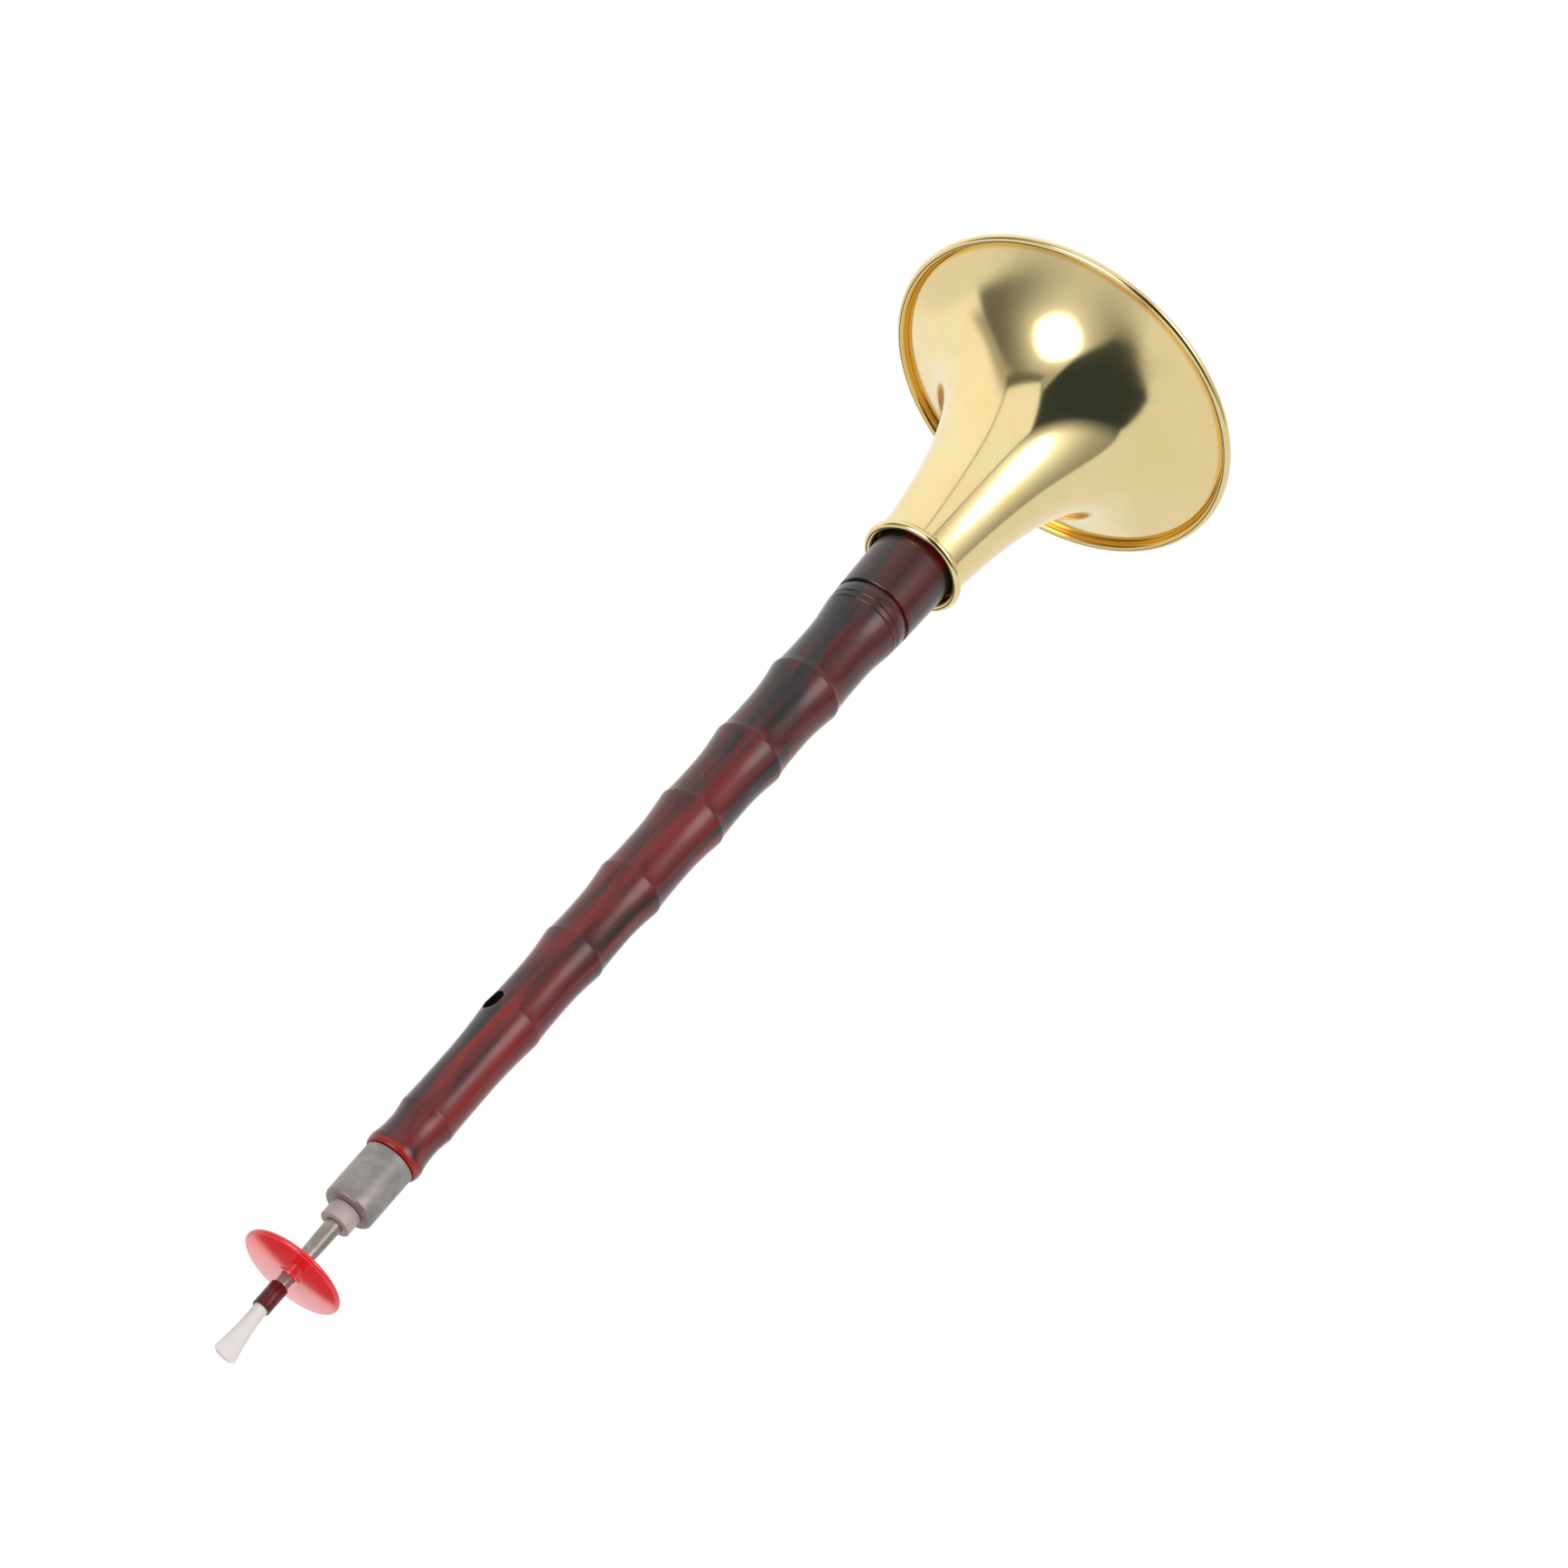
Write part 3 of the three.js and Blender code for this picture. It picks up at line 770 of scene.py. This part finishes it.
# STAPLE. A short tapered tube of drawn steel, wide end down in the bushing, with the reed on its narrow
# end. It keeps the fine lines of drawing along its length.
staple_sheet = 0.35
staple_dark = (0.27, 0.236, 0.212, 1)
staple_light = (0.48, 0.428, 0.386, 1)
staple_steel = satin_steel("drawn steel staple", staple_dark, staple_light, around=2200.0, along=25.0,
                           smooth_end=0.28, rough_end=0.44, metallic=0.9)
staple_outline = [
    (staple_wide - staple_sheet, staple_low), (staple_wide, staple_low),
    (staple_narrow, staple_top), (staple_narrow - staple_sheet, staple_top),
]
staple = turn("steel_staple", staple_outline, core_sides, staple_steel)
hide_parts("staple")
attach(staple, "staple")

# LIP DISC. A round plate of glossy red plastic, a little domed towards the reed, with a fully rounded edge
# and a low lip round its hole. It is pushed down on the staple's taper, and the player's lips rest on it.
disc_bottom = 367.0
disc_edge = 0.7
disc_radius = 14.3
disc_rise = 0.6
disc_steps = 16
lip_height = 0.4
lip_width = 0.25
lip_edge = 0.12
disc_red_dark = (0.88, 0.011, 0.017, 1)
disc_red_light = (0.93, 0.013, 0.02, 1)
# painted shade: a darker red on the disc's rounded rim
disc_edge_painted_shade = (0.6, 0.003, 0.008, 1)


def red_plastic():
    made, tree, shader, place = new_material("glossy red plastic")
    cloud = noise(tree, place, scale=120.0)
    # the rounded rim, where the darker red of painted shade goes
    edge = ramp(tree, radius_of(tree, place), start=0.0136, end=0.0141)
    connect(tree, shader, {
        "Base Color": blend(tree, edge, blend(tree, cloud, disc_red_dark, disc_red_light), disc_edge_painted_shade),
        "Roughness": ramp(tree, marks_on(tree, size=0.008, cover=0.4), low=0.08, high=0.16),
        "Normal": bump(tree, cloud, strength=0.05, distance=0.0002),
        "Coat Weight": 0.9,
        "Coat Roughness": 0.05,
    })
    return made


disc_hole = staple_radius(disc_bottom) + fit
disc_flat = disc_radius - disc_edge
dome = []
for step in range(disc_steps + 1):
    out = disc_flat - (disc_flat - disc_hole) * step / disc_steps
    dome.append((out, disc_bottom + 2 * disc_edge + disc_rise * (1 - (out / disc_flat) ** 2)))
lip_top = dome[-1][1] + lip_height
disc_outline = (
    [(disc_hole, disc_bottom)] + arc((disc_flat, disc_bottom + disc_edge), disc_edge, -90, 88, 18) + dome[:-1]
    + arc((disc_hole + lip_width + lip_height, lip_top), lip_height, -90, -160, 7)
    + arc((disc_hole + lip_edge, lip_top - lip_edge), lip_edge, 0, 90, 4) + [(disc_hole, lip_top)]
)
disc = turn("red_lip_disc", disc_outline, 160, red_plastic())
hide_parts("lip_disc")
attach(disc, "disc")

# REED. A milky plastic tube, round at the root and pressed flat into a fan at the mouth, with a narrow
# slit between its two blades. It leans a little to one side. Its root is whipped to the staple with thread
# under dark red lacquer.
reed_bottom = 373.0
reed_length = 22.0
reed_sides = 48
root_radius, waist_radius = 2.2, 1.85
tip_half_width, tip_half_depth = 3.15, 0.45
root_sheet, tip_sheet = 0.35, 0.25
corner_drop = 1.0
reed_turn = math.radians(18)
lean = Vector((0.4, -0.92, 0)) * 0.05
reed_stations = [
    (0, 0, 0), (0.24, 0, 0), (0.34, 1, 0), (0.44, 1, 0.03),
    (0.58, 1, 0.16), (0.72, 1, 0.38), (0.86, 1, 0.68), (1, 1, 1),
]
station_steps = 6
binding_low, binding_high = 372.5, 379.8
binding_edge = 0.1
sleeve_inner, sleeve_outer = 2.28, 2.42
sleeve_rounding = 0.06
binding_sides = 64
thread_radius = 0.17
thread_pitch = thread_radius * 2.1
thread_margin = 0.2
thread_sides, turn_steps = 10, 40
film_dark = (0.55, 0.515, 0.5, 1)
film_light = (0.6, 0.565, 0.545, 1)
# painted shade: grey along the folded side edges of the reed's blades
film_fold_painted_shade = (0.3, 0.29, 0.3, 1)
lacquer_dark = (0.045, 0.003, 0.002, 1)
lacquer_light = (0.11, 0.006, 0.004, 1)


def mix(a, b, share):
    return a + (b - a) * share


def side_of(number):
    """How far towards the reed's edges a corner of its section is, from -1 to 1."""
    return math.sin(number / reed_sides * 2 * math.pi)


def reed_ring(height_share, waist_share, tip_share, inset_share):
    """A section of the reed, by shares of its height, of its narrowing, of its flattening and of its wall."""
    root = mix(root_radius, waist_radius, waist_share)
    width, depth = mix(root, tip_half_width, tip_share), mix(root, tip_half_depth, tip_share ** 0.55)
    inset = inset_share * mix(root_sheet, tip_sheet, tip_share)
    ring = []
    for i in range(reed_sides):
        across = side_of(i)
        x = (depth - inset) * math.cos(i / reed_sides * 2 * math.pi)
        y = (width - inset) * across
        z = reed_bottom + reed_length * height_share - corner_drop * tip_share * across ** 4
        ring.append((x * mm, y * mm, z * mm))
    return ring


stations = []
for lower, upper in zip(reed_stations, reed_stations[1:]):
    for k in range(station_steps):
        stations.append(tuple(mix(a, b, k / station_steps) for a, b in zip(lower, upper)))
stations.append(reed_stations[-1])
walls = [reed_ring(*station, 0) for station in stations]
walls += [reed_ring(*station, 1) for station in stations[::-1]]
blade = bmesh.new()
levels = [[blade.verts.new(point) for point in ring] for ring in walls]
for level, ring in enumerate(levels):
    onward = levels[(level + 1) % len(levels)]
    for i in range(reed_sides):
        j = (i + 1) % reed_sides
        blade.faces.new((ring[i], ring[j], onward[j], onward[i]))
blade_mesh = bpy.data.meshes.new("reed_blades")
blade.to_mesh(blade_mesh)
blade.free()
sides = blade_mesh.attributes.new("side", "FLOAT", "POINT")
for number, value in enumerate(sides.data):
    value.value = abs(side_of(number % reed_sides))
blade_mesh.shade_smooth()
blade_mesh.set_sharp_from_angle(angle=math.radians(50))


def reed_film():
    made, tree, shader, place = new_material("milky reed film")
    fibre = lines_on(tree, around=600.0, along=40.0)
    side = add(tree, "ShaderNodeAttribute", attribute_name="side").outputs["Fac"]
    # the folded side edges of the blades, painted grey as painted shade
    edge = ramp(tree, side, start=0.955, end=0.995, high=0.55)
    connect(tree, shader, {
        "Base Color": blend(tree, edge, blend(tree, fibre, film_dark, film_light), film_fold_painted_shade),
        "Roughness": 0.55,
        "Normal": bump(tree, fibre, strength=0.02, distance=0.0001),
        "Specular IOR Level": 0.3,
    })
    return made


blade_mesh.transform(Matrix.Rotation(reed_turn, 4, "Z"))
for vertex in blade_mesh.vertices:
    vertex.co += lean * max(vertex.co.z - binding_high * mm, 0)
reed = in_scene("reed_blades", blade_mesh)
reed.data.materials.append(reed_film())
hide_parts("reed")
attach(reed, "reed")


def whipping_tree():
    """Thread wound in close turns: a spiral of thread, swept with a round section that sinks into lacquer."""
    inputs = [("Sleeve", "Geometry", None)]
    for name in ("Turns", "Wound Radius", "Length", "Thread Radius", "Base Height"):
        inputs.append((name, "Float", None))
    inputs.append(("Finish", "Material", None))
    tree, given = node_group("thread whipping", "GeometryNodeTree", inputs, "Whipping", "Geometry")
    spiral = add(tree, "GeometryNodeCurveSpiral", {
        "Resolution": turn_steps, "Rotations": given["Turns"], "Start Radius": given["Wound Radius"],
        "End Radius": given["Wound Radius"], "Height": given["Length"],
    }).outputs["Curve"]
    lift = add(tree, "ShaderNodeCombineXYZ", {"Z": given["Base Height"]}).outputs["Vector"]
    placed = add(tree, "GeometryNodeTransform", {"Geometry": spiral, "Translation": lift}).outputs["Geometry"]
    circle = {"Resolution": thread_sides, "Radius": given["Thread Radius"]}
    section = add(tree, "GeometryNodeCurvePrimitiveCircle", circle).outputs["Curve"]
    sweep = {"Curve": placed, "Profile Curve": section, "Fill Caps": True}
    thread = add(tree, "GeometryNodeCurveToMesh", sweep)
    both = add(tree, "GeometryNodeJoinGeometry")
    connect(tree, both, {"Geometry": thread.outputs["Mesh"]})
    connect(tree, both, {"Geometry": given["Sleeve"]})
    end_growth(tree, both.outputs["Geometry"], given["Finish"], "Whipping")
    return tree


def lacquered_thread():
    made, tree, shader, place = new_material("dark red lacquer")
    pool = noise(tree, place, scale=500.0, detail=3.0)
    connect(tree, shader, {
        "Base Color": blend(tree, pool, lacquer_dark, lacquer_light),
        "Roughness": ramp(tree, pool, low=0.14, high=0.3),
        "Specular IOR Level": 0.35,
        "Coat Weight": 0.1,
        "Coat Roughness": 0.08,
    })
    return made


lacquer = lacquered_thread()
sleeve_outline = [
    (sleeve_inner, binding_low), (sleeve_outer - sleeve_rounding, binding_low),
    (sleeve_outer, binding_low + binding_edge), (sleeve_outer, binding_high - binding_edge),
    (sleeve_outer - sleeve_rounding, binding_high), (sleeve_inner, binding_high),
]
whipping = turn("reed_whipping", sleeve_outline, binding_sides, lacquer)
wound_length = binding_high - binding_low - 2 * thread_margin
grown(whipping, whipping_tree(), {
    "Turns": wound_length / thread_pitch, "Wound Radius": sleeve_inner * mm, "Length": wound_length * mm,
    "Thread Radius": thread_radius * mm, "Base Height": (binding_low + thread_margin) * mm,
    "Finish": lacquer,
})
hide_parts("reed_binding")
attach(whipping, "reed")

# STUDIO. A pale floor under the standing instrument, which the camera sees as white, soft lamps round it, and
# the camera above and to one side, tilted so that the pipe runs up to the right. Shiny surfaces look past the
# floor at a white room with a round softbox on each side of the camera and a dark gap between the two.
azimuth, tilt, roll = math.radians(113.4), math.radians(32.5), math.radians(49.23)
picture_width = 1735
focal_length = 3700
sensor_width = 36
camera_distance, camera_height, camera_offset = 0.77097, 0.661, 0.0129
floor_reach = 4
floor_dark = (0.86, 0.86, 0.86, 1)
floor_light = (0.88, 0.88, 0.88, 1)
plain_white = (1, 1, 1, 1)
shadow_tint = (0.72, 0.98, 1.05, 1)
up = Vector((0, 0, 1))
towards = Vector((math.sin(azimuth), -math.cos(azimuth), 0))
aside = Vector((towards.y, -towards.x, 0))
down_image = towards * math.sin(tilt) - up * math.cos(tilt)
right = down_image * math.cos(roll) + aside * math.sin(roll)
top = down_image * math.sin(roll) - aside * math.cos(roll)
back = right.cross(top)
camera_data = bpy.data.cameras.new("camera")
camera_data.sensor_width = sensor_width
camera_data.lens = sensor_width * focal_length / picture_width
camera = in_scene("camera", camera_data)
camera.matrix_world = Matrix((right, top, back)).transposed().to_4x4()
camera.location = towards * camera_distance + up * camera_height + aside * camera_offset
bpy.context.scene.camera = camera
bpy.context.scene.view_settings.view_transform = "Standard"


def white_floor():
    """Pale paper for the light on the instrument, which the camera and shiny surfaces see as white."""
    made = bpy.data.materials.new("white floor")
    made.use_nodes = True
    tree = made.node_tree
    tree.nodes.clear()
    grain = noise(tree, add(tree, "ShaderNodeTexCoord").outputs["Object"], scale=300.0)
    tone = blend(tree, grain, floor_dark, floor_light)
    paper = add(tree, "ShaderNodeBsdfDiffuse", {"Color": tone}).outputs["BSDF"]
    white = add(tree, "ShaderNodeEmission", {"Color": plain_white, "Strength": 1.05}).outputs["Emission"]
    rays = add(tree, "ShaderNodeLightPath").outputs
    seen = math_node(tree, "MAXIMUM", rays["Is Camera Ray"], rays["Is Glossy Ray"])
    seen = math_node(tree, "MAXIMUM", seen, rays["Is Transmission Ray"])
    share = math_node(tree, "MULTIPLY", seen, 0.9)
    both = add(tree, "ShaderNodeMixShader", {"Fac": share, 1: paper, 2: white})
    add(tree, "ShaderNodeOutputMaterial", {"Surface": both.outputs["Shader"]})
    return made


floor_corners = [(x * floor_reach, y * floor_reach, 0) for x, y in ((-1, -1), (1, -1), (1, 1), (-1, 1))]
floor_mesh = bpy.data.meshes.new("studio_floor")
floor_mesh.from_pydata(floor_corners, [], [list(range(4))])
floor_mesh.materials.append(white_floor())
studio_floor = in_scene("studio_floor", floor_mesh)
studio_floor.visible_glossy = False

gap_corners = [(-0.05, 0.49), (-0.52, -0.62), (-0.04, -1.37), (0.93, -1.46), (0.43, 0.52)]
strut_corners = [(-0.26, 0.41), (-0.23, 0.54), (-1.04, 1.7), (-1.49, 1.66), (-0.74, 0.88)]
panel_corners = [(-0.209, 0.495), (0.505, 0.525), (1.06, 1.77), (1.3, 3.16), (-0.99, 1.56)]
wall_level, wall_slant = 0.96, 0.13
gap_level, strut_level, shade_level, low_wall_level = 0.05, 0.12, 0.45, 0.85
panel_level, panel_edge_level = 1.01, 0.15
bright_patch_level, dark_patch_level = 1.22, 0.08
dull_level = 0.5


def bearing(across, upward):
    """The direction of a place in the reflected room, in degrees right of the camera and above it."""
    angle, turned = math.radians(math.hypot(across, upward)), math.atan2(upward, across)
    return back * math.cos(angle) + (right * math.cos(turned) + top * math.sin(turned)) * math.sin(angle)


def opposite(lift):
    """The direction away from the camera's side of the room, lifted by an angle in degrees."""
    return (up * math.tan(math.radians(lift)) - towards).normalized()


def studio_room():
    """The room round the instrument: white to the camera, plain light to dull surfaces, and to shiny ones a
    white room with two round softboxes, the dark gap between them and a pale panel over the gap."""
    made = bpy.data.worlds.new("studio")
    made.use_nodes = True
    tree = made.node_tree
    tree.nodes.clear()
    looking = add(tree, "ShaderNodeTexCoord").outputs["Generated"]

    def along(direction):
        return vector_node(tree, "DOT_PRODUCT", looking, direction, result="Value")

    def degrees_from(direction):
        cosine = math_node(tree, "MINIMUM", along(direction), 1.0)
        return math_node(tree, "DEGREES", math_node(tree, "ARCCOSINE", cosine))

    def fade(value, start, end):
        """Goes smoothly from 0 at the start to 1 at the end."""
        return ramp(tree, value, start, end, kind="SMOOTHSTEP")

    def round_patch(middle, start, end):
        return fade(degrees_from(middle), start, end)

    def laid_over(below, above, cover):
        return blend(tree, cover, below, above, kind="FLOAT")

    def softbox(rim_level, halo_level, halo_reach, halo_power, hot_middle, hot_level, hot_radius, hot_fade=3):
        """A round softbox: dim at its rim, and bright where its lamp shines through."""
        away = degrees_from(hot_middle)
        left_over = math_node(tree, "MULTIPLY_ADD", away, -1 / halo_reach, 1.0)
        halo = math_node(tree, "POWER", math_node(tree, "MAXIMUM", left_over, 0.0), halo_power)
        hot = fade(away, hot_radius + hot_fade, hot_radius - hot_fade)
        glow = math_node(tree, "MULTIPLY_ADD", halo, halo_level, rim_level)
        return math_node(tree, "MULTIPLY_ADD", hot, hot_level, glow)

    def inside(places):
        """How far inside a convex outline, from its corners as tangents right of the camera and above it,
        which go round it against the clock."""
        corners = [(right * x + top * y + back).normalized() for x, y in places]
        depth = 1.0
        for corner, following in zip(corners, corners[1:] + corners[:1]):
            depth = math_node(tree, "MINIMUM", along(corner.cross(following).normalized()), depth)
        return depth

    gap, panel = inside(gap_corners), inside(panel_corners)
    level = math_node(tree, "MULTIPLY_ADD", along((top - right).normalized()), wall_slant, wall_level)
    right_box = softbox(rim_level=0.3, halo_level=2.3, halo_reach=75, halo_power=3.0,
                        hot_middle=bearing(51, 15), hot_level=1.8, hot_radius=15)
    right_box = laid_over(right_box, gap_level, fade(gap, -0.24, 0.04))
    level = laid_over(level, right_box, round_patch(bearing(48, 7), 53, 51))
    shade = math_node(tree, "MULTIPLY", round_patch(bearing(-44, -10), 63, 55), fade(along(top), 0.0, 0.2))
    level = laid_over(level, shade_level, shade)
    left_box = softbox(rim_level=0.16, halo_level=2.6, halo_reach=60, halo_power=3.5,
                       hot_middle=bearing(-34.5, 3), hot_level=3.0, hot_radius=16)
    level = laid_over(level, left_box, round_patch(bearing(-48.1, -5.3), 47, 42.5))
    level = laid_over(level, gap_level, fade(gap, -0.03, 0.03))
    level = laid_over(level, strut_level, fade(inside(strut_corners), -0.02, 0.04))
    level = laid_over(level, low_wall_level, round_patch(bearing(-54.6, -80.2), 56, 53.5))
    level = laid_over(level, panel_edge_level, fade(panel, -0.03, -0.01))
    level = laid_over(level, panel_level, fade(panel, -0.005, 0.015))
    level = laid_over(level, bright_patch_level, round_patch(opposite(9), 16, 10))
    level = laid_over(level, dark_patch_level, round_patch(opposite(34), 13, 10))

    rays = add(tree, "ShaderNodeLightPath").outputs
    seen = math_node(tree, "MAXIMUM", rays["Is Camera Ray"], rays["Is Transmission Ray"])
    level = laid_over(laid_over(dull_level, level, rays["Is Glossy Ray"]), 1.0, seen)
    tint = blend(tree, fade(level, 0.04, 0.16), shadow_tint, plain_white)
    sky = add(tree, "ShaderNodeBackground", {"Color": tint, "Strength": level})
    add(tree, "ShaderNodeOutputWorld", {"Surface": sky.outputs["Background"]})
    made.cycles.sampling_method = "NONE"
    return made


bpy.context.scene.world = studio_room()


def lamp(name, place, target, size, power):
    """A plain square area lamp that faces its target, for the instrument's own colours."""
    light = bpy.data.lights.new(name, "AREA")
    light.shape = "SQUARE"
    light.size = size
    light.energy = power
    made = in_scene(name, light)
    made.location = place
    made.rotation_euler = (Vector(target) - Vector(place)).to_track_quat("-Z", "Y").to_euler()
    made.visible_glossy = False


lamp("key_lamp", towards * 0.9 + aside * 0.6 + up * 0.7, target=(0, 0, 0.2), size=0.6, power=9)
lamp("fill_lamp", towards * 0.6 - aside * 0.9 + up * 0.8, target=(0, 0, 0.2), size=0.6, power=5)
